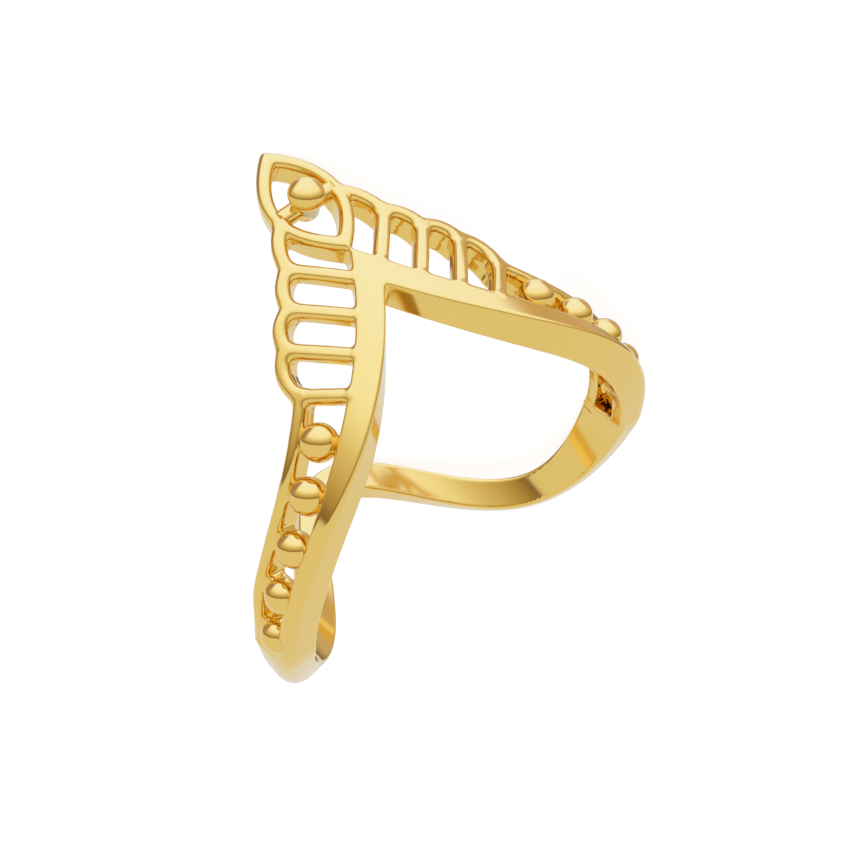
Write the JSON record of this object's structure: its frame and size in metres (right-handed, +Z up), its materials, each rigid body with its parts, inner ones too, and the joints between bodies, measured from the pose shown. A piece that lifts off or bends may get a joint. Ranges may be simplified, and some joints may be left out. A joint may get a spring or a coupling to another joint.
{
  "type": "chevron ring",
  "caption": "Openwork gold chevron finger ring with scalloped bars, bead rows and a pointed leaf frame, lying on its side.",
  "frame": {"origin": "centre of the bounding box in plan, on the surface the ring lies on", "axes": "+Z up; the ring lies on its side with the point of its V leaning towards -Y, its longest extent along Y"},
  "size_m": [0.0182, 0.0214, 0.0161],
  "materials": {
    "gold": "polished"
  },
  "bodies": {
    "root": {"ring": "gold"}
  },
  "joints": []
}
